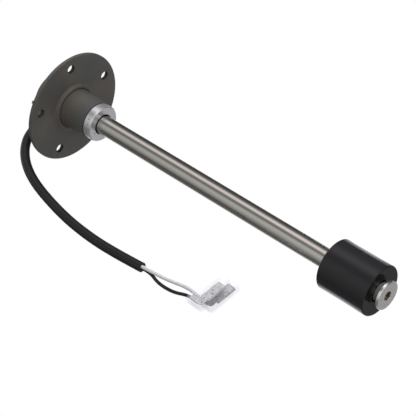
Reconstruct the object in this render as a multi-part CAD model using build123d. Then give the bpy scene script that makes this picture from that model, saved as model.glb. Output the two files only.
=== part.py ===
from build123d import *
import math
import os

# Tube fuel level sender for a standard five-hole tank flange, in millimetres.
# A ring magnet in a float slides along a steel tube and closes reed switches on a board inside it.
# The origin is the centre of the flange's mounting face, which lies on the tank.
# The tube hangs down along -Z, the head stands up along +Z and the cable leaves along +X.

# Fits
slip = 0.05
lift = 0.1

# Flange
flange_d = 68.0
flange_t = 2.4
rim_round = 0.9
rim_break = 0.35
bolt_circle_d = 54.0
bolt_hole_d = 5.3
bolt_count = 5
bolt_pitch_deg = 70.0
gate_angle_deg = 52.5
gate_width = 1.7
gate_height = 1.3
gate_stand = 0.7

# Boss on the tank side
plinth_d = 28.8
plinth_h = 1.5
bead_w = 1.9
bead_round = 0.7
groove_h = 0.7
boss_foot_d = 24.2
boss_nose_d = 22.7
boss_h = 19.4

# Collar and seal at the nose of the boss
collar_d = 22.4
collar_h = 4.9
collar_gap = 0.4
collar_bore_d = 12.7
collar_lip = 2.0
collar_chamfer = 0.7
spigot_d = 18.4
seal_section_d = 2.4

# Tube
tube_d = 11.3
tube_wall = 0.9
tube_bottom = 233.6
flare_d = 15.4
flare_t = 0.9

# End plug, which is the float's lower stop
plug_d = 16.8
plug_t = 1.7
plug_edge = 0.3
plug_spigot_h = 9.0
hex_across_flats = 5.0
hex_depth = 3.4
hex_lead_in = 0.15

# Float and its magnet
float_d = 29.5
float_h = 31.0
float_bore_d = 12.6
float_edge = 0.8
float_bore_edge = 0.5
float_gap = 3.1
magnet_in_d = 16.4
magnet_out_d = 23.6
magnet_h = 6.0

# Head on the outer side
head_d = 31.0
head_h = 18.0
head_wall = 2.4
head_floor = 2.0
head_foot_round = 2.0
head_draft = 0.25
lid_t = 1.8
lid_rebate = 1.1
lid_lip_h = 2.4
lid_lip_w = 1.3
lid_edge = 0.4
outlet_drop = 7.0
outlet_reach = 18.0
outlet_d = 10.4
outlet_bore_d = 7.8

# Cable and its rubber gland
jacket_d = 5.6
gland_flange_d = 9.8
gland_inner_flange_t = 1.3
gland_outer_flange_t = 1.2
gland_nose_h = 3.0
gland_nose_big_d = 8.4
gland_nose_small_d = 7.0

# Circuit board and what it carries
board_w = 7.2
board_t = 1.0
board_face_x = -0.1
board_top = 3.2
board_end_gap = 2.1
bush_h = 4.0
upper_bush_top = -3.0
reed_count = 9
reed_pitch = 21.0
first_reed_up = 12.5
reed_glass_d = 1.9
reed_glass_h = 10.0
reed_taper = 0.6
reed_leg_pitch = 13.0
reed_leg_d = 0.5
resistor_w = 1.6
resistor_h = 3.2
resistor_t = 0.6

# Leads
lead_d = 1.9
lead_spread = 1.15
inner_lead_start_z = -1.0
inner_lead_bend_r = 3.5

# Right-angle push-on terminals and their covers
sheet_t = 0.4
grip_h = 2.4
grip_gap = 0.5
receptacle_w = 6.5
receptacle_near_x = -3.6
receptacle_far_x = -15.6
receptacle_top_z = -3.7
curl_d = 2.7
tab_slot_t = 0.8
detent_d = 1.2
detent_x = -9.6
cover_wall = 0.6
cover_t = 5.0
cover_leg_w = 6.4
cover_top_z = 1.2
cover_arm_top_z = -2.6
cover_arm_bottom_z = -11.3
cover_arm_end_x = -17.4
cover_round = 1.6
black_terminal_at = (58.1, 0.5, -148.9)
white_terminal_at = (53.7, -6.5, -149.9)
terminal_turn = (14.0, -5.0, 8.0)

# Routes, chosen by hand
jacket_route = [
    (10.0, 0.0, 11.0),
    (26.9, 0.0, 11.0),
    (37.7, 0.0, 5.9),
    (46.7, 0.0, -4.9),
    (53.5, 0.0, -21.2),
    (59.2, 0.0, -48.1),
    (61.2, 0.0, -69.4),
    (61.1, 0.0, -90.8),
    (59.3, 0.0, -112.3),
]
black_lead_route = [
    (59.3, -1.15, -112.3),
    (58.84, -1.15, -117.8),
    (61.6, -0.6, -126.2),
    (61.2, -0.5, -137.4),
    (57.82, -0.27, -145.81),
    (58.54, 1.73, -153.83),
]
white_lead_route = [
    (59.3, 1.15, -112.3),
    (58.72, 1.15, -119.2),
    (56.75, -1.8, -129.0),
    (52.9, -5.8, -138.6),
    (53.44, -7.22, -147.0),
    (54.14, -5.27, -154.83),
]

# Places worked out from the sizes above
outlet_z = head_h - outlet_drop
tube_r = tube_d / 2
tube_in_r = tube_r - tube_wall
nose_z = -boss_h
collar_back_z = nose_z - collar_gap
collar_front_z = collar_back_z - collar_h
lip_z = collar_front_z + collar_lip
spigot_end_z = lip_z + slip
seal_room_top_z = spigot_end_z + seal_section_d + slip
seal_room_r = tube_r + seal_section_d + 2 * slip
floor_z = flange_t + head_floor
flare_top_z = floor_z + flare_t
head_r = head_d / 2
cup_r = head_r - head_wall
lid_r = cup_r + lid_rebate
disc_back_z = -tube_bottom
tip_z = disc_back_z - plug_t
float_bottom_z = disc_back_z + float_gap
float_top_z = float_bottom_z + float_h
float_mid_z = (float_bottom_z + float_top_z) / 2
float_down = float_gap - lift
float_up = collar_front_z - float_top_z - lift
board_back_x = board_face_x - board_t
board_bottom = disc_back_z + plug_spigot_h + board_end_gap
first_reed_z = board_bottom + first_reed_up
gland_in_x = math.sqrt(cup_r**2 - (gland_flange_d / 2) ** 2) - slip
grip_r = lead_d / 2 + slip + sheet_t
barrel_h = 2 * grip_h + grip_gap


def disc(r, z_low, z_high):
    """A plain disc about Z."""
    return Pos(0, 0, z_low) * extrude(Circle(r), z_high - z_low)


def ring(r_out, r_in, z_low, z_high):
    """A plain ring about Z."""
    return Pos(0, 0, z_low) * extrude(Circle(r_out) - Circle(r_in), z_high - z_low)


def turned(points):
    """A solid turned about Z from a closed outline of (radius, z) points."""
    outline = make_face(Plane.XZ * Polyline(*points, close=True))
    return revolve(outline, Axis.Z)


def bar_x(r, x_low, x_high):
    """A round bar along X at the height of the cable outlet."""
    return Pos(x_low, 0, outlet_z) * (Plane.YZ * extrude(Circle(r), x_high - x_low))


def edges_at(body, r, z):
    """The circular edges of a turned body with this radius and height."""
    found = body.edges().filter_by(GeomType.CIRCLE)
    return found.filter_by(lambda e: abs(e.radius - r) < 1e-4 and abs(e.center().Z - z) < 1e-4)


# Flange, boss and head, one moulding

def flange_blank():
    """The moulding's turned body: flange, boss with its bead and groove, spigot and head cup."""
    bead_in_r = plinth_d / 2 - bead_w
    return turned([
        (tube_r + slip, floor_z),
        (cup_r, floor_z),
        (cup_r, head_h - lid_t),
        (lid_r, head_h - lid_t),
        (lid_r, head_h),
        (head_r - head_draft, head_h),
        (head_r, flange_t),
        (flange_d / 2, flange_t),
        (flange_d / 2, 0),
        (plinth_d / 2, 0),
        (plinth_d / 2, -plinth_h),
        (bead_in_r, -plinth_h),
        (bead_in_r, -groove_h),
        (boss_foot_d / 2, -groove_h),
        (boss_nose_d / 2, nose_z),
        (spigot_d / 2, nose_z),
        (spigot_d / 2, spigot_end_z),
        (seal_room_r, spigot_end_z),
        (seal_room_r, seal_room_top_z),
        (tube_r + slip, seal_room_top_z),
    ])


def soften_flange(body):
    """Moulded edges: rim, bead and the foot of the head."""
    body = fillet(edges_at(body, flange_d / 2, flange_t), rim_round)
    body = chamfer(edges_at(body, flange_d / 2, 0), rim_break)
    bead = edges_at(body, plinth_d / 2, -plinth_h) + edges_at(body, plinth_d / 2 - bead_w, -plinth_h)
    body = fillet(bead, bead_round)
    body = fillet(edges_at(body, head_r, flange_t), head_foot_round)
    return chamfer(edges_at(body, head_r - head_draft, head_h), lid_edge)


def bolt_angles():
    """Five holes, the single one at -X; the wider gap faces the cable."""
    middle = (bolt_count - 1) / 2
    return [180 + (i - middle) * bolt_pitch_deg for i in range(bolt_count)]


def bolt_holes():
    """The five mounting holes, as cutters."""
    hole = Pos(bolt_circle_d / 2, 0, flange_t / 2) * Cylinder(bolt_hole_d / 2, 2 * flange_t)
    return [Rot(0, 0, angle) * hole for angle in bolt_angles()]


def gate_nub():
    """The small moulding gate left on the rim."""
    nub = Box(gate_width, gate_width, gate_height)
    out = flange_d / 2 - gate_width / 2 + gate_stand
    return Rot(0, 0, gate_angle_deg) * Pos(out, 0, flange_t / 2 + gate_height / 4) * nub


def flange_body():
    """The whole moulding with its cable outlet."""
    body = soften_flange(flange_blank())
    outlet = bar_x(outlet_d / 2, cup_r, outlet_reach)
    outlet = chamfer(outlet.edges().filter_by(GeomType.CIRCLE).sort_by(Axis.X)[-1], lid_edge)
    body = body + outlet + gate_nub()
    body -= bar_x(outlet_bore_d / 2, 0, outlet_reach + slip)
    for hole in bolt_holes():
        body -= hole
    return body


def head_lid():
    """The lid, with a lip that fits into the cup."""
    lip_r = cup_r - slip
    lid = disc(lid_r - slip, head_h - lid_t, head_h)
    lid = chamfer(edges_at(lid, lid_r - slip, head_h), lid_edge)
    lip = ring(lip_r, lip_r - lid_lip_w, head_h - lid_t - lid_lip_h, head_h - lid_t)
    way_for_gland = bar_x(gland_flange_d / 2 + slip, 0, head_r)
    return lid + (lip - way_for_gland)


# Collar, seal, tube and end plug

def collar():
    """The metal collar pressed on the spigot, with a lip that shuts the seal in."""
    outer = collar_d / 2
    return turned([
        (spigot_d / 2 + slip, collar_back_z),
        (outer - slip, collar_back_z),
        (outer, collar_back_z - slip),
        (outer, collar_front_z + collar_chamfer),
        (outer - collar_chamfer, collar_front_z),
        (collar_bore_d / 2, collar_front_z),
        (collar_bore_d / 2, lip_z),
        (spigot_d / 2 + slip, lip_z),
    ])


def tube_seal():
    """The O-ring round the tube."""
    centre_z = spigot_end_z + seal_section_d / 2
    return Pos(0, 0, centre_z) * Torus(tube_r + slip + seal_section_d / 2, seal_section_d / 2)


def tube():
    """The steel tube, flared over the floor of the head at its upper end."""
    return turned([
        (tube_in_r, disc_back_z),
        (tube_r, disc_back_z),
        (tube_r, floor_z),
        (flare_d / 2, floor_z),
        (flare_d / 2, flare_top_z),
        (tube_in_r, flare_top_z),
    ])


def hex_socket():
    """The socket's cutter, with its lead-in and the drill's cone at the bottom."""
    flats_r = hex_across_flats / 2
    prism = extrude(RegularPolygon(flats_r, 6, major_radius=False), hex_depth)
    cone = Pos(0, 0, hex_depth + flats_r / 4) * Cone(flats_r * 0.95, 0.2, flats_r / 2)
    mouth_r = flats_r + 2 * hex_lead_in
    lead_in = Pos(0, 0, hex_lead_in / 2) * Cone(mouth_r, mouth_r - hex_lead_in, hex_lead_in)
    return Pos(0, 0, tip_z) * (prism + cone + lead_in)


def end_plug():
    """The turned plug: a stop disc below the tube and a spigot inside it."""
    edge_r = plug_d / 2
    spigot_r = tube_in_r - slip
    top_z = disc_back_z + plug_spigot_h
    body = turned([
        (0, tip_z),
        (edge_r - plug_edge, tip_z),
        (edge_r, tip_z + plug_edge),
        (edge_r, disc_back_z - plug_edge),
        (edge_r - plug_edge, disc_back_z),
        (spigot_r, disc_back_z),
        (spigot_r, top_z - plug_edge),
        (spigot_r - plug_edge, top_z),
        (0, top_z),
    ])
    return body - hex_socket()


# Float

def magnet():
    """The ring magnet, buried at the middle of the float."""
    return ring(magnet_out_d / 2, magnet_in_d / 2, float_mid_z - magnet_h / 2, float_mid_z + magnet_h / 2)


def float_body():
    """The foam float, moulded round its magnet."""
    body = ring(float_d / 2, float_bore_d / 2, float_bottom_z, float_top_z)
    rims = edges_at(body, float_d / 2, float_bottom_z) + edges_at(body, float_d / 2, float_top_z)
    body = fillet(rims, float_edge)
    bore_r = float_bore_d / 2
    mouths = edges_at(body, bore_r, float_bottom_z) + edges_at(body, bore_r, float_top_z)
    return chamfer(mouths, float_bore_edge) - magnet()


# Circuit board and what it carries

def board():
    """The long narrow circuit board."""
    centre = ((board_face_x + board_back_x) / 2, 0, (board_top + board_bottom) / 2)
    return Pos(*centre) * Box(board_t, board_w, board_top - board_bottom)


def bush(z_low):
    """A rubber bush that centres the board in the tube."""
    slot = Box(board_t + 2 * slip, board_w + 2 * slip, 2 * bush_h)
    slot = Pos((board_face_x + board_back_x) / 2, 0, z_low + bush_h / 2) * slot
    return disc(tube_in_r - slip, z_low, z_low + bush_h) - slot


def reed(z):
    """One reed switch: a glass capsule on two wire legs."""
    axis_x = board_face_x + reed_glass_d / 2 + slip
    glass = Cylinder(reed_glass_d / 2, reed_glass_h)
    glass = chamfer(glass.edges().filter_by(GeomType.CIRCLE), reed_taper)
    body = glass + Cylinder(reed_leg_d / 2, reed_leg_pitch)
    leg_h = axis_x + reed_leg_d / 2 - board_face_x
    for side in (-1, 1):
        leg_z = side * (reed_leg_pitch - reed_leg_d) / 2
        body += Pos(reed_leg_d / 2 - leg_h / 2, 0, leg_z) * Box(leg_h, reed_leg_d, reed_leg_d)
    return Pos(axis_x, 0, z) * body


def resistor(z):
    """One chip resistor on the back of the board."""
    return Pos(board_back_x - resistor_t / 2, 0, z) * Box(resistor_t, resistor_w, resistor_h)


# Gland, cable and leads

def gland():
    """The rubber gland in the outlet, with a flange on each side of the wall and a tapered nose."""
    flange_x = outlet_reach + slip
    nose_x = flange_x + gland_outer_flange_t
    body = bar_x(gland_flange_d / 2, gland_in_x - gland_inner_flange_t, gland_in_x)
    body += bar_x(outlet_bore_d / 2 - slip, gland_in_x, flange_x)
    body += bar_x(gland_flange_d / 2, flange_x, nose_x)
    nose = Cone(gland_nose_big_d / 2, gland_nose_small_d / 2, gland_nose_h)
    body += Pos(nose_x + gland_nose_h / 2, 0, outlet_z) * (Rot(0, 90, 0) * nose)
    bore = bar_x(jacket_d / 2 + slip, 0, nose_x + gland_nose_h)
    return body - bore


def bend_radii(route):
    """For each corner of a route, the arc that its two runs allow."""
    points = [Vector(*p) for p in route]
    runs = [b - a for a, b in zip(points, points[1:])]
    radii = []
    for before, after in zip(runs, runs[1:]):
        half_turn = math.radians(before.get_angle(after) / 2)
        radii.append(0.45 * min(before.length, after.length) / math.tan(half_turn))
    return radii


def cord(name, route, diameter):
    """A cord's tube: straight runs joined by tangent arcs."""
    radii = bend_radii(route)
    path = FilletPolyline(*route, radius=radii)
    start = Plane(origin=path @ 0, z_dir=path % 0)
    body = sweep(start * Circle(diameter / 2), path)
    expected = math.pi * (diameter / 2) ** 2 * path.length
    print(name, "length", round(path.length, 1), "radii", [round(r, 1) for r in radii])
    print(name, "volume over section times length", round(body.volume / expected, 4))
    return body


def inner_lead(side):
    """A lead from the board's top end to the cable's end in the head."""
    x = board_face_x + lead_d / 2 + slip
    y = side * lead_spread
    points = [(x, y, inner_lead_start_z), (x, y, outlet_z), (jacket_route[0][0], y, outlet_z)]
    path = FilletPolyline(*points, radius=[inner_lead_bend_r])
    start = Plane(origin=path @ 0, z_dir=path % 0)
    return sweep(start * Circle(lead_d / 2), path)


# Terminals, each drawn with its wire barrel's mouth at the origin, the barrel along -Z,
# the receptacle along -X and the sheet's flat back towards +Y

def barrel():
    """Two crimped grips round the lead, joined along their back by the sheet."""
    shell = Circle(grip_r) - Circle(grip_r - sheet_t)
    grips = extrude(shell, -grip_h) + Pos(0, 0, -grip_h - grip_gap) * extrude(shell, -grip_h)
    back = Box(2 * grip_r, sheet_t, barrel_h)
    return grips + Pos(0, grip_r - sheet_t / 2, -barrel_h / 2) * back


def receptacle():
    """A flat floor with both long edges curled over to hold a flat tab."""
    length = receptacle_near_x - receptacle_far_x
    curl_r = curl_d / 2
    floor_y = grip_r
    mid_z = receptacle_top_z - receptacle_w / 2
    section = Pos(floor_y - sheet_t / 2, 0) * Rectangle(sheet_t, receptacle_w - curl_d)
    for side in (-1, 1):
        centre = Pos(floor_y - curl_r, side * (receptacle_w / 2 - curl_r))
        section += centre * (Circle(curl_r) - Circle(curl_r - sheet_t))
    slot = Pos(floor_y - sheet_t - tab_slot_t / 2, 0) * Rectangle(tab_slot_t, receptacle_w - 2 * sheet_t)
    section -= slot
    body = Pos(receptacle_far_x, 0, mid_z) * (Plane.YZ * extrude(section, length))
    detent = Rot(90, 0, 0) * Cylinder(detent_d / 2, 3 * sheet_t)
    return body - Pos(detent_x, floor_y - sheet_t / 2, mid_z) * detent


def neck():
    """The flat sheet that joins the barrel to the receptacle round the corner."""
    right_x = grip_r
    left_x = receptacle_near_x - sheet_t
    low_z = receptacle_top_z - receptacle_w
    middle = Pos((left_x + right_x) / 2, grip_r - sheet_t / 2, (low_z - barrel_h) / 2)
    strap = middle * Box(right_x - left_x, sheet_t, -barrel_h - low_z)
    corner = strap.edges().filter_by(Axis.Y).sort_by(Axis.X)[-2:].sort_by(Axis.Z)[0]
    return fillet(corner, cover_round)


def terminal(at):
    """One right-angle terminal, folded from sheet."""
    return Pos(*at) * Rot(*terminal_turn) * (barrel() + neck() + receptacle())


def cover_outline(inset, open_by):
    """The cover's outline in the XZ plane, drawn in by inset and run past both mouths by open_by."""
    half = cover_leg_w / 2 - inset
    top = cover_top_z + open_by
    arm_top = cover_arm_top_z - inset
    arm_bottom = cover_arm_bottom_z + inset
    end = cover_arm_end_x - open_by
    leg = [(half, arm_bottom), (half, top), (-half, top)]
    arm = [(-half, arm_top), (end, arm_top), (end, arm_bottom)]
    face = make_face(Polyline(*leg, *arm, close=True))
    corner = face.vertices().sort_by_distance((half, arm_bottom))[0]
    face = fillet(corner, cover_round - inset / 2)
    inside = face.vertices().sort_by_distance((-half, arm_top))[0]
    return fillet(inside, cover_round / 2 + inset)


def cover(at):
    """One clear cover, open where the lead enters and where the tab enters."""
    outer = extrude(Plane.XZ * cover_outline(0, 0), cover_t / 2, both=True)
    outer = fillet(outer.edges().filter_by(Plane.XZ).group_by(Axis.Y)[-1], cover_wall)
    outer = fillet(outer.edges().filter_by(Plane.XZ).group_by(Axis.Y)[0], cover_wall)
    inner = extrude(Plane.XZ * cover_outline(cover_wall, 1), cover_t / 2 - cover_wall, both=True)
    return Pos(*at) * Rot(*terminal_turn) * (outer - inner)


def all_nodes():
    """Every piece by its node's name."""
    nodes = {
        "flange_body": flange_body(),
        "head_lid": head_lid(),
        "collar": collar(),
        "tube_seal": tube_seal(),
        "tube": tube(),
        "end_plug": end_plug(),
        "float_body": float_body(),
        "float_magnet": magnet(),
        "circuit_board": board(),
        "board_bush_upper": bush(upper_bush_top - bush_h),
        "board_bush_lower": bush(board_bottom),
        "cable_gland": gland(),
        "cable_jacket": cord("cable_jacket", jacket_route, jacket_d),
        "lead_black": cord("lead_black", black_lead_route, lead_d),
        "lead_white": cord("lead_white", white_lead_route, lead_d),
        "inner_lead_black": inner_lead(-1),
        "inner_lead_white": inner_lead(1),
        "terminal_black": terminal(black_terminal_at),
        "terminal_white": terminal(white_terminal_at),
        "terminal_cover_black": cover(black_terminal_at),
        "terminal_cover_white": cover(white_terminal_at),
    }
    for i in range(reed_count):
        z = first_reed_z + i * reed_pitch
        nodes[f"reed_switch_{i + 1}"] = reed(z)
        nodes[f"resistor_{i + 1}"] = resistor(z + reed_pitch / 2)
    return nodes


os.makedirs("parts", exist_ok=True)
print("float travel down", round(float_down, 2), "up", round(float_up, 2))
for node, shape in all_nodes().items():
    shape.label = node
    export_step(shape, f"parts/{node}.step")
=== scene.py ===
import math

import bpy
from mathutils import Matrix, Vector


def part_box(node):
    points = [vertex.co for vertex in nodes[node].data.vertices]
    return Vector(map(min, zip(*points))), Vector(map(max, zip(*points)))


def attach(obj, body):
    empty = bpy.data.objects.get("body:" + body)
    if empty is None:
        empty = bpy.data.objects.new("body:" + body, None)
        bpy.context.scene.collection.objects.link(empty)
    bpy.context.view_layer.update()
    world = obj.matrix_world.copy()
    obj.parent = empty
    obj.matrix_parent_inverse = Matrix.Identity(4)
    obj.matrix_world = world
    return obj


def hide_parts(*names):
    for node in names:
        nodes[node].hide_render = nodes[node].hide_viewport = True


# A tube fuel level sender, seen from the tank side and held by its flange.
# Lengths are in metres, in the frame of the model: the tube hangs along -Z, the cable leaves along +X.
# Angles are in degrees, azimuths from +X towards +Y.

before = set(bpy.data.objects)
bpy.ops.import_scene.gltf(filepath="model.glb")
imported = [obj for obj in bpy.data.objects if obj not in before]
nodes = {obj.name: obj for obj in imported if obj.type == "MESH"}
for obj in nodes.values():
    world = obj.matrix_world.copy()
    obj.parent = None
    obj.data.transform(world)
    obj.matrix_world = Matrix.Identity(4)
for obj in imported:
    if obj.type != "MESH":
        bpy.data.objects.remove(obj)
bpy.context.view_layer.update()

# Camera, from the circles of the flange, the collar and the end disc
camera_at = Vector((0.26195, 0.69344, -0.57244))
look_at = Vector((0.00905, -0.00329, -0.11562))
camera_roll = -58.52
camera_lens_mm = 136.7

# Cords: the same routes as the solids
jacket_diameter = 0.0056
jacket_end = (0.0593, 0.0, -0.1123)
jacket_route = [
    (0.0100, 0.0, 0.0110),
    (0.0269, 0.0, 0.0110),
    (0.0377, 0.0, 0.0059),
    (0.0467, 0.0, -0.0049),
    (0.0535, 0.0, -0.0212),
    (0.0592, 0.0, -0.0481),
    (0.0612, 0.0, -0.0694),
    (0.0611, 0.0, -0.0908),
    jacket_end,
]
lead_diameter = 0.0019
black_lead_route = [
    (0.05930, -0.00115, -0.1123),
    (0.05884, -0.00115, -0.1178),
    (0.06160, -0.00060, -0.1262),
    (0.06120, -0.00050, -0.1374),
    (0.05782, -0.00027, -0.14581),
    (0.05854, 0.00173, -0.15383),
]
white_lead_route = [
    (0.05930, 0.00115, -0.1123),
    (0.05872, 0.00115, -0.1192),
    (0.05675, -0.00180, -0.1290),
    (0.05290, -0.00580, -0.1386),
    (0.05344, -0.00722, -0.1470),
    (0.05414, -0.00527, -0.15483),
]
cord_order = 3
cord_steps = 24
cord_roundness = 8

# Bead: radius and Z from the boss outwards, and how deep its hidden back lies in the flange
bead_profile = [
    (0.01185, -0.00098),
    (0.01220, -0.00112),
    (0.01255, -0.00131),
    (0.01290, -0.00147),
    (0.01325, -0.00155),
    (0.01360, -0.00157),
    (0.01390, -0.00150),
    (0.01420, -0.00132),
    (0.01445, -0.00100),
    (0.01465, -0.00062),
    (0.01490, -0.00028),
    (0.01520, -0.00009),
    (0.01560, 0.00001),
]
bead_back = 0.0004
bead_steps = 96

# Painted shade in the moulding's colour: in the flange's holes, and from the boss's nose down, in and
# behind the collar
hole_circle = 0.027
hole_azimuths = (40.0, -40.0, 110.0, -110.0, 180.0)
hole_radius = 0.00268
painted_shade_above_collar = 0.00045
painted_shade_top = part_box("collar")[1].z + painted_shade_above_collar

# End disc: its tool marks, the lightest of them on the rim as a painted highlight, and its socket, which
# has a finish of its own just inside the face
disc_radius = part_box("end_plug")[1].x
mark_spacing = 0.0012
socket_radius = 0.0035
socket_inset = 0.00015
socket_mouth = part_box("end_plug")[0].z + socket_inset

# Tube's end, dull from just inside the float down
dull_above_float_end = 0.0002
dull_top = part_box("float_body")[0].z + dull_above_float_end

# Studio light: the world's level on the object and where it is seen, and two lamps
white = (1.0, 1.0, 1.0)
plain_light = 0.52
seen_light = 1.0
tube_middle = Vector((0.0, 0.0, -0.13))
lamp_distance = 1.2
lamp_size = 1.0
key_azimuth, key_elevation = 136.0, 6.0
key_power = 12.5
fill_azimuth, fill_elevation = 72.0, -30.0
fill_power = 5.0

# Floor
floor_size = 24.0
floor_height = -2.4
floor_colour = (0.85, 0.85, 0.85)
floor_seen_lift = 0.3

# Walls round the tube: a graded screen, a low grey wall and two bright cards
wall_middle = 70.0
wall_step = 5.0

screen_radius = 1.5
screen_heights = (-2.3, 3.2)
screen_peak = 1.55
screen_top_level = 1.27
screen_fade = (0.6, 1.15)
screen_pink = (1.0, 0.90, 0.925)
screen_pink_from = 0.7
# Azimuths, and the level there as a share of the peak
screen_levels = [
    (-75.0, 0.25),
    (-42.0, 0.11),
    (-12.0, 0.09),
    (8.0, 0.22),
    (30.0, 0.38),
    (50.0, 0.50),
    (66.0, 0.44),
    (84.0, 0.13),
    (98.0, 0.20),
    (112.0, 0.76),
    (124.0, 0.97),
    (136.0, 0.55),
    (150.0, 0.16),
    (168.0, 0.07),
    (212.0, 0.04),
    (225.0, 0.30),
]

low_radius = 1.1
low_azimuths = (200.0, 300.0)
low_heights = (-1.09, -0.4)
low_level = 0.38

rim_radius = 1.4
rim_right_azimuths = (195.0, 245.0)
rim_left_azimuths = (-105.0, -55.0)
rim_heights = (0.43, 0.50)
rim_level = 2.0
rim_colour = (0.92, 0.92, 1.0)


# Places and objects

def on_circle(radius, azimuth, z):
    """A point at a radius round Z, at an azimuth and a height."""
    a = math.radians(azimuth)
    return radius * math.cos(a), radius * math.sin(a), z


def add_object(name, data):
    """A new object in the scene."""
    made = bpy.data.objects.new(name, data)
    bpy.context.scene.collection.objects.link(made)
    return made


def aimed(at, target, roll=0.0):
    """A placement at a point, with -Z towards a target and a roll about that line."""
    turn = (target - at).to_track_quat("-Z", "Y").to_matrix().to_4x4()
    return Matrix.Translation(at) @ turn @ Matrix.Rotation(math.radians(roll), 4, "Z")


# Nodes

def feed(tree, node, inputs):
    """Gives a node's inputs their numbers, vectors and colours, or links them to other nodes' outputs."""
    for name, value in inputs.items():
        socket = node.inputs[name]
        if isinstance(value, bpy.types.NodeSocket):
            tree.links.new(value, socket)
        elif socket.type == "RGBA":
            socket.default_value = (*value, 1.0)
        else:
            socket.default_value = value


def add_node(tree, kind, inputs, **settings):
    """A new node with its settings and inputs."""
    node = tree.nodes.new(kind)
    for name, value in settings.items():
        setattr(node, name, value)
    feed(tree, node, inputs)
    return node


def number_math(tree, operation, *values, clamp=False):
    """The result of an operation on numbers."""
    inputs = dict(enumerate(values))
    return add_node(tree, "ShaderNodeMath", inputs, operation=operation, use_clamp=clamp).outputs["Value"]


def vector_math(tree, operation, *values):
    """The result of an operation on vectors."""
    inputs = dict(enumerate(values))
    return add_node(tree, "ShaderNodeVectorMath", inputs, operation=operation).outputs["Vector"]


def less_than(tree, value, limit):
    """1 where a value is under a limit, else 0."""
    return number_math(tree, "LESS_THAN", value, limit)


def place(tree):
    """The point on the object, in metres."""
    return tree.nodes.new("ShaderNodeTexCoord").outputs["Object"]


def height_of(tree, vector):
    """A vector's Z."""
    return add_node(tree, "ShaderNodeSeparateXYZ", {"Vector": vector}).outputs["Z"]


def radius_of(tree, vector):
    """A vector's length across Z."""
    flat = vector_math(tree, "MULTIPLY", vector, (1.0, 1.0, 0.0))
    return add_node(tree, "ShaderNodeVectorMath", {0: flat}, operation="LENGTH").outputs["Value"]


def on_x(tree, number):
    """A number as a point on X."""
    return add_node(tree, "ShaderNodeCombineXYZ", {"X": number}).outputs["Vector"]


def noise(tree, point, scale, detail=3.0):
    """Noise between 0 and 1 at a scale per metre."""
    inputs = {"Vector": point, "Scale": scale, "Detail": detail}
    return add_node(tree, "ShaderNodeTexNoise", inputs).outputs["Fac"]


def rings(tree, point, spacing, full_at):
    """Rings round the tube's axis between 0 and 1, with a full one at a radius."""
    # A wave node turns by 20 radians per metre at a scale of 1
    turn_rate = 20.0
    inputs = {
        "Vector": on_x(tree, radius_of(tree, point)),
        "Scale": math.tau / (turn_rate * spacing),
        "Phase Offset": math.pi - math.tau * full_at / spacing,
        "Distortion": 0.6,
        "Detail": 2.0,
        "Detail Scale": 3.0,
    }
    return add_node(tree, "ShaderNodeTexWave", inputs).outputs["Fac"]


def ranged(tree, factor, low, high, span=(0.0, 1.0)):
    """A number that goes from low to high over a span of the factor."""
    inputs = {"Value": factor, "From Min": span[0], "From Max": span[1], "To Min": low, "To Max": high}
    return add_node(tree, "ShaderNodeMapRange", inputs).outputs["Result"]


def mixed(tree, factor, low, high, span=(0.0, 1.0)):
    """A colour that goes from low to high over a span of the factor."""
    node = add_node(tree, "ShaderNodeValToRGB", {"Fac": factor})
    for stop, position, colour in zip(node.color_ramp.elements, span, (low, high)):
        stop.position = position
        stop.color = (*colour, 1.0)
    return node.outputs["Color"]


def painted(tree, mask, under, over):
    """A colour with another one over it where a mask is 1."""
    # A Mix node holds its two colours in inputs 6 and 7 and gives theirs at output 2
    inputs = {"Factor": mask, 6: under, 7: over}
    return add_node(tree, "ShaderNodeMix", inputs, data_type="RGBA").outputs[2]


def specks(tree, point, scale, size):
    """A mask that is 1 inside small specks, one at most in each cell of a scale per metre."""
    full_share = 0.6
    cells = add_node(tree, "ShaderNodeTexVoronoi", {"Vector": point, "Scale": scale})
    return ranged(tree, cells.outputs["Distance"], low=0.0, high=1.0, span=(size, size * full_share))


def bump(tree, height, depth):
    """The normal of a surface with a height between 0 and 1, as deep as depth."""
    return add_node(tree, "ShaderNodeBump", {"Height": height, "Distance": depth}).outputs["Normal"]


# Camera

def make_camera():
    """A long lens below the flange, looking up the tube."""
    data = bpy.data.cameras.new("camera")
    data.lens = camera_lens_mm
    camera = add_object("camera", data)
    camera.matrix_world = aimed(camera_at, look_at, camera_roll)
    bpy.context.scene.camera = camera


# Materials

def new_material(name):
    """A material with one shader; returns the material, its node tree and the shader."""
    material = bpy.data.materials.new(name)
    material.use_nodes = True
    tree = material.node_tree
    return material, tree, tree.nodes["Principled BSDF"]


def in_hole(tree, point, azimuth):
    """1 inside the flange's hole at an azimuth, where painted shade goes, else 0."""
    away = vector_math(tree, "SUBTRACT", point, on_circle(hole_circle, azimuth, 0.0))
    return less_than(tree, radius_of(tree, away), hole_radius)


def housing_finish():
    """Dark warm grey moulded plastic with faint clouds, a fine grain, and painted shade in its hidden
    places: the flange's holes, and in and behind the collar.
    """
    brown = (0.089, 0.079, 0.070)
    grey = (0.068, 0.068, 0.064)
    # Painted shade: the dark colour put where shade falls
    painted_shade = (0.018, 0.017, 0.016)
    material, tree, shader = new_material("housing_finish")
    point = place(tree)
    clouds = mixed(tree, noise(tree, point, scale=42.0, detail=2.0), brown, grey, span=(0.4, 0.6))
    # Painted shade: dark in the flange's holes and from the boss's nose down, in and behind the collar
    painted_shade_mask = less_than(tree, height_of(tree, point), painted_shade_top)
    for azimuth in hole_azimuths:
        painted_shade_mask = number_math(tree, "ADD", painted_shade_mask, in_hole(tree, point, azimuth))
    feed(tree, shader, {
        "Base Color": painted(tree, painted_shade_mask, clouds, painted_shade),
        "Roughness": ranged(tree, noise(tree, point, scale=400.0), low=0.42, high=0.6),
        "Specular IOR Level": 0.35,
        "Normal": bump(tree, noise(tree, point, scale=1800.0, detail=4.0), depth=0.00004),
    })
    return material


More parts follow.
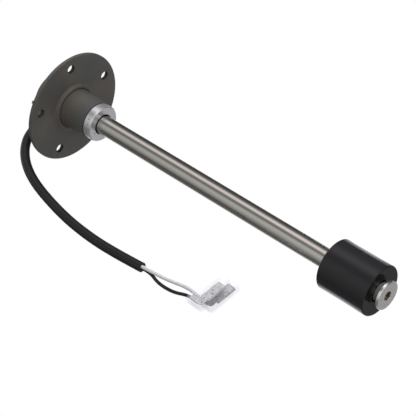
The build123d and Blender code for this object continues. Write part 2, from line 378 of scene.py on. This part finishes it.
def aluminium_finish():
    """Turned aluminium with fine rings and a few dark nicks."""
    bare = (0.69, 0.69, 0.71)
    nick = (0.12, 0.12, 0.13)
    material, tree, shader = new_material("aluminium_finish")
    point = place(tree)
    nicks = specks(tree, point, scale=240.0, size=0.13)
    marks = noise(tree, on_x(tree, radius_of(tree, point)), scale=2600.0, detail=2.0)
    feed(tree, shader, {
        "Base Color": mixed(tree, nicks, bare, nick),
        "Metallic": 0.8,
        "Roughness": ranged(tree, marks, low=0.24, high=0.36),
        "Normal": bump(tree, marks, depth=0.000008),
    })
    return material


def steel_finish():
    """Satin stainless tube, polished round and round, dull below the float."""
    dark = (0.48, 0.47, 0.435)
    light = (0.54, 0.53, 0.495)
    material, tree, shader = new_material("steel_finish")
    point = place(tree)
    lines = noise(tree, vector_math(tree, "MULTIPLY", point, (0.02, 0.02, 1.0)), scale=260.0, detail=2.0)
    end = less_than(tree, height_of(tree, point), dull_top)
    feed(tree, shader, {
        "Base Color": mixed(tree, lines, dark, light),
        "Metallic": ranged(tree, end, low=1.0, high=0.75),
        "Roughness": ranged(tree, lines, low=0.20, high=0.24),
    })
    return material


def turned_steel_finish():
    """A faced disc with concentric tool marks, the lightest on its rim as a painted highlight, and a dull
    socket.
    """
    dark = (0.48, 0.47, 0.465)
    light = (0.88, 0.87, 0.86)
    dull = (0.50, 0.46, 0.38)
    material, tree, shader = new_material("turned_steel_finish")
    point = place(tree)
    # The tool marks are real. Their lightest ring is put on the disc's rim, so its edge band is a painted
    # highlight
    marks = rings(tree, point, mark_spacing, full_at=disc_radius)
    middle = less_than(tree, radius_of(tree, point), socket_radius)
    face = less_than(tree, height_of(tree, point), socket_mouth)
    socket = number_math(tree, "SUBTRACT", middle, face, clamp=True)
    feed(tree, shader, {
        "Base Color": painted(tree, socket, mixed(tree, marks, dark, light), dull),
        "Metallic": 1.0,
        "Roughness": ranged(tree, marks, low=0.34, high=0.24),
    })
    return material


def float_finish():
    """Near-black closed-cell foam with a satin skin, and painted shade that darkens its flat end faces.
    """
    skin = (0.0175, 0.0175, 0.019)
    # Painted shade: the colour of the flat end faces
    painted_end_shade = (0.007, 0.007, 0.0075)
    material, tree, shader = new_material("float_finish")
    point = place(tree)
    normal = tree.nodes.new("ShaderNodeTexCoord").outputs["Normal"]
    # Painted shade: where the normal is upright, on the flat end faces, the colour is darker than on the
    # sides
    end_shade_mask = number_math(tree, "ABSOLUTE", height_of(tree, normal))
    feed(tree, shader, {
        "Base Color": mixed(tree, end_shade_mask, skin, painted_end_shade, span=(0.75, 0.95)),
        "Roughness": ranged(tree, noise(tree, point, scale=220.0), low=0.12, high=0.18),
        "Specular IOR Level": 0.2,
        "Normal": bump(tree, noise(tree, point, scale=1500.0, detail=2.0), depth=0.00001),
    })
    return material


def rubber_finish():
    """Black rubber."""
    material, tree, shader = new_material("rubber_finish")
    feed(tree, shader, {
        "Base Color": (0.016, 0.016, 0.016),
        "Roughness": 0.6,
        "Normal": bump(tree, noise(tree, place(tree), scale=1500.0), depth=0.00004),
    })
    return material


def jacket_finish():
    """Black sheath, faintly uneven, on the cable and one lead."""
    material, tree, shader = new_material("jacket_finish")
    feed(tree, shader, {
        "Base Color": (0.0105, 0.0105, 0.011),
        "Roughness": 0.42,
        "Specular IOR Level": 0.3,
        "Normal": bump(tree, noise(tree, place(tree), scale=900.0), depth=0.00006),
    })
    return material


def white_lead_finish():
    """White insulation."""
    material, tree, shader = new_material("white_lead_finish")
    feed(tree, shader, {
        "Base Color": (0.53, 0.53, 0.56),
        "Roughness": 0.45,
        "Normal": bump(tree, noise(tree, place(tree), scale=900.0), depth=0.00004),
    })
    return material


def tinned_finish():
    """Tin plate, slightly dull, with clouds and a few dark spots."""
    dark = (0.38, 0.375, 0.335)
    light = (0.50, 0.495, 0.465)
    spot = (0.10, 0.10, 0.09)
    material, tree, shader = new_material("tinned_finish")
    point = place(tree)
    clouds = mixed(tree, noise(tree, point, scale=420.0), dark, light, span=(0.42, 0.58))
    feed(tree, shader, {
        "Base Color": painted(tree, specks(tree, point, scale=240.0, size=0.2), clouds, spot),
        "Metallic": 0.25,
        "Roughness": ranged(tree, noise(tree, point, scale=900.0), low=0.42, high=0.6),
    })
    return material


def cover_finish():
    """Clear soft plastic with a faint violet cast, denser where it is seen edge on."""
    material, tree, shader = new_material("cover_finish")
    edge = add_node(tree, "ShaderNodeLayerWeight", {"Blend": 0.12})
    feed(tree, shader, {
        "Base Color": (0.86, 0.86, 1.0),
        "Roughness": ranged(tree, noise(tree, place(tree), scale=500.0), low=0.2, high=0.35),
        "Alpha": ranged(tree, edge.outputs["Facing"], low=0.06, high=0.6),
    })
    return material


def board_finish():
    """Green laminate with a fine weave."""
    material, tree, shader = new_material("board_finish")
    weave = noise(tree, vector_math(tree, "MULTIPLY", place(tree), (1.0, 1.0, 0.3)), scale=3000.0)
    feed(tree, shader, {
        "Base Color": (0.02, 0.12, 0.05),
        "Roughness": 0.4,
        "Normal": bump(tree, weave, depth=0.00002),
    })
    return material


def glass_finish():
    """Clear glass with a faint green cast."""
    material, tree, shader = new_material("glass_finish")
    feed(tree, shader, {
        "Base Color": (0.72, 0.86, 0.80),
        "Roughness": ranged(tree, noise(tree, place(tree), scale=800.0), low=0.05, high=0.15),
        "Transmission Weight": 0.9,
    })
    return material


def resistor_finish():
    """Black glazed ceramic."""
    material, tree, shader = new_material("resistor_finish")
    feed(tree, shader, {
        "Base Color": (0.03, 0.03, 0.03),
        "Roughness": ranged(tree, noise(tree, place(tree), scale=2500.0), low=0.25, high=0.45),
    })
    return material


def ferrite_finish():
    """Dark pressed ferrite."""
    material, tree, shader = new_material("ferrite_finish")
    feed(tree, shader, {
        "Base Color": (0.05, 0.05, 0.055),
        "Roughness": 0.6,
        "Normal": bump(tree, noise(tree, place(tree), scale=1500.0, detail=4.0), depth=0.00004),
    })
    return material


def set_finish(material, *names):
    """Gives CAD nodes a material."""
    for name in names:
        data = nodes[name].data
        data.materials.clear()
        data.materials.append(material)


# Cords

def make_cord(name, route, diameter, material):
    """A smooth cord through a NURBS spline with the route's points."""
    data = bpy.data.curves.new(name, "CURVE")
    data.dimensions = "3D"
    spline = data.splines.new("NURBS")
    spline.points.add(len(route) - 1)
    for point, position in zip(spline.points, route):
        point.co = (*position, 1.0)
    spline.order_u = cord_order
    spline.use_endpoint_u = True
    data.resolution_u = cord_steps
    data.bevel_depth = diameter / 2
    data.bevel_resolution = cord_roundness
    data.use_fill_caps = True
    data.materials.append(material)
    return add_object(name, data)


def make_cords(jacket_material, white_material):
    """The cable and its two leads."""
    jacket = make_cord("cable", jacket_route, jacket_diameter, jacket_material)
    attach(jacket, "sender")
    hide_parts("cable_jacket")
    black = make_cord("black_lead", black_lead_route, lead_diameter, jacket_material)
    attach(black, "sender")
    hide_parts("lead_black")
    white_lead = make_cord("white_lead", white_lead_route, lead_diameter, white_material)
    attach(white_lead, "sender")
    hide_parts("lead_white")


# Bead at the boss's root

def make_bead(material):
    """The soft bead round the boss's root, over the moulding's own."""
    inner, outer = bead_profile[0][0], bead_profile[-1][0]
    profile = [*bead_profile, (outer, bead_back), (inner, bead_back)]
    count = len(profile)
    points = []
    faces = []
    for i in range(bead_steps):
        azimuth = 360.0 * i / bead_steps
        points.extend(on_circle(radius, azimuth, z) for radius, z in profile)
        near = i * count
        far = (i + 1) % bead_steps * count
        for j in range(count):
            k = (j + 1) % count
            faces.append((near + j, far + j, far + k, near + k))
    mesh = bpy.data.meshes.new("boss_bead")
    mesh.from_pydata(points, [], faces)
    mesh.polygons.foreach_set("use_smooth", [True] * len(faces))
    mesh.materials.append(material)
    bead = add_object("boss_bead", mesh)
    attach(bead, "sender")


# Studio

def set_view():
    """Colours as they are written."""
    bpy.context.scene.view_settings.view_transform = "Standard"


def seen_rays(tree):
    """1 for the rays that the camera, metal and glass send out, else 0."""
    ray = tree.nodes.new("ShaderNodeLightPath").outputs
    seen = number_math(tree, "MAXIMUM", ray["Is Camera Ray"], ray["Is Glossy Ray"])
    return number_math(tree, "MAXIMUM", seen, ray["Is Transmission Ray"])


def make_floor():
    """A plain pale floor, well below the camera, lifted a little where it is seen."""
    bpy.ops.mesh.primitive_plane_add(size=floor_size, location=(0.0, 0.0, floor_height))
    floor = bpy.context.object
    floor.name = "floor"
    material, tree, shader = new_material("floor_finish")
    feed(tree, shader, {
        "Base Color": floor_colour,
        "Roughness": 0.9,
        "Emission Color": white,
        "Emission Strength": ranged(tree, seen_rays(tree), low=0.0, high=floor_seen_lift),
    })
    floor.data.materials.append(material)


def make_world():
    """White where the camera, metal and glass look, and a plain level of light elsewhere."""
    world = bpy.data.worlds.new("world")
    bpy.context.scene.world = world
    world.use_nodes = True
    tree = world.node_tree
    tree.nodes.clear()
    plain = add_node(tree, "ShaderNodeBackground", {"Color": white, "Strength": plain_light})
    seen = add_node(tree, "ShaderNodeBackground", {"Color": white, "Strength": seen_light})
    inputs = {0: seen_rays(tree), 1: plain.outputs[0], 2: seen.outputs[0]}
    mix = add_node(tree, "ShaderNodeMixShader", inputs)
    add_node(tree, "ShaderNodeOutputWorld", {"Surface": mix.outputs[0]})


def make_lamp(name, azimuth, elevation, power):
    """A soft square lamp, aimed at the tube's middle, that metal doesn't mirror."""
    data = bpy.data.lights.new(name, "AREA")
    data.size = lamp_size
    data.energy = power
    e = math.radians(elevation)
    away = Vector(on_circle(lamp_distance * math.cos(e), azimuth, lamp_distance * math.sin(e)))
    lamp = add_object(name, data)
    lamp.matrix_world = aimed(tube_middle + away, tube_middle)
    lamp.visible_glossy = False


def make_wall(name, radius, azimuths, heights, material):
    """An upright studio wall, bent round the tube, that is seen in reflections alone."""
    first, last = azimuths
    steps = round((last - first) / wall_step)
    points = []
    for i in range(steps + 1):
        azimuth = first + (last - first) * i / steps
        points.extend(on_circle(radius, azimuth - wall_middle, z) for z in heights)
    faces = [(2 * i, 2 * i + 2, 2 * i + 3, 2 * i + 1) for i in range(steps)]
    mesh = bpy.data.meshes.new(name)
    mesh.from_pydata(points, [], faces)
    mesh.materials.append(material)
    wall = add_object(name, mesh)
    wall.rotation_euler.z = math.radians(wall_middle)
    wall.visible_camera = False
    wall.visible_diffuse = False
    wall.visible_transmission = False
    wall.visible_shadow = False


def new_glow(name):
    """A wall's material, which sends out light alone; returns it, its node tree and its emission."""
    material = bpy.data.materials.new(name)
    material.use_nodes = True
    material.cycles.emission_sampling = "NONE"
    tree = material.node_tree
    tree.nodes.clear()
    glow = tree.nodes.new("ShaderNodeEmission")
    add_node(tree, "ShaderNodeOutputMaterial", {"Surface": glow.outputs[0]})
    return material, tree, glow


def make_screen():
    """The graded screen that gives the tube its streaks."""
    material, tree, glow = new_glow("screen_finish")
    around = add_node(tree, "ShaderNodeTexGradient", {"Vector": place(tree)}, gradient_type="RADIAL")
    grades = add_node(tree, "ShaderNodeValToRGB", {"Fac": around.outputs["Fac"]})
    grades.color_ramp.interpolation = "EASE"
    stops = grades.color_ramp.elements
    while len(stops) < len(screen_levels):
        stops.new(1.0)
    # A radial gradient goes from 0 to 1 once round, with 0.5 at the wall's middle
    for stop, (azimuth, level) in zip(stops, screen_levels):
        tint = screen_pink if level > screen_pink_from else white
        stop.position = (azimuth - wall_middle) / 360.0 + 0.5
        stop.color = (*(level * share for share in tint), 1.0)
    height = height_of(tree, place(tree))
    feed(tree, glow, {
        "Color": grades.outputs["Color"],
        "Strength": ranged(tree, height, screen_peak, screen_top_level, span=screen_fade),
    })
    azimuths = (screen_levels[0][0], screen_levels[-1][0])
    make_wall("screen", screen_radius, azimuths, screen_heights, material)


def make_low_wall():
    """A grey wall that the faces turned down reflect."""
    material, tree, glow = new_glow("low_finish")
    feed(tree, glow, {"Color": white, "Strength": low_level})
    make_wall("low_wall", low_radius, low_azimuths, low_heights, material)


def make_rims():
    """Two bright cards that the rims of the float reflect."""
    material, tree, glow = new_glow("rim_finish")
    feed(tree, glow, {"Color": rim_colour, "Strength": rim_level})
    make_wall("rim_right", rim_radius, rim_right_azimuths, rim_heights, material)
    make_wall("rim_left", rim_radius, rim_left_azimuths, rim_heights, material)


set_view()
make_camera()
jacket_look = jacket_finish()
white_look = white_lead_finish()
make_cords(jacket_look, white_look)
housing_look = housing_finish()
set_finish(housing_look, "flange_body", "head_lid")
make_bead(housing_look)
set_finish(aluminium_finish(), "collar")
set_finish(steel_finish(), "tube")
set_finish(turned_steel_finish(), "end_plug")
set_finish(float_finish(), "float_body")
set_finish(rubber_finish(), "cable_gland", "tube_seal", "board_bush_upper", "board_bush_lower")
set_finish(board_finish(), "circuit_board")
set_finish(tinned_finish(), "terminal_black", "terminal_white")
set_finish(cover_finish(), "terminal_cover_black", "terminal_cover_white")
set_finish(jacket_look, "inner_lead_black")
set_finish(white_look, "inner_lead_white")
set_finish(ferrite_finish(), "float_magnet")
set_finish(glass_finish(), *[name for name in nodes if name.startswith("reed_switch")])
set_finish(resistor_finish(), *[name for name in nodes if name.startswith("resistor")])
make_floor()
make_world()
make_lamp("key", key_azimuth, key_elevation, key_power)
make_lamp("fill", fill_azimuth, fill_elevation, fill_power)
make_screen()
make_low_wall()
make_rims()
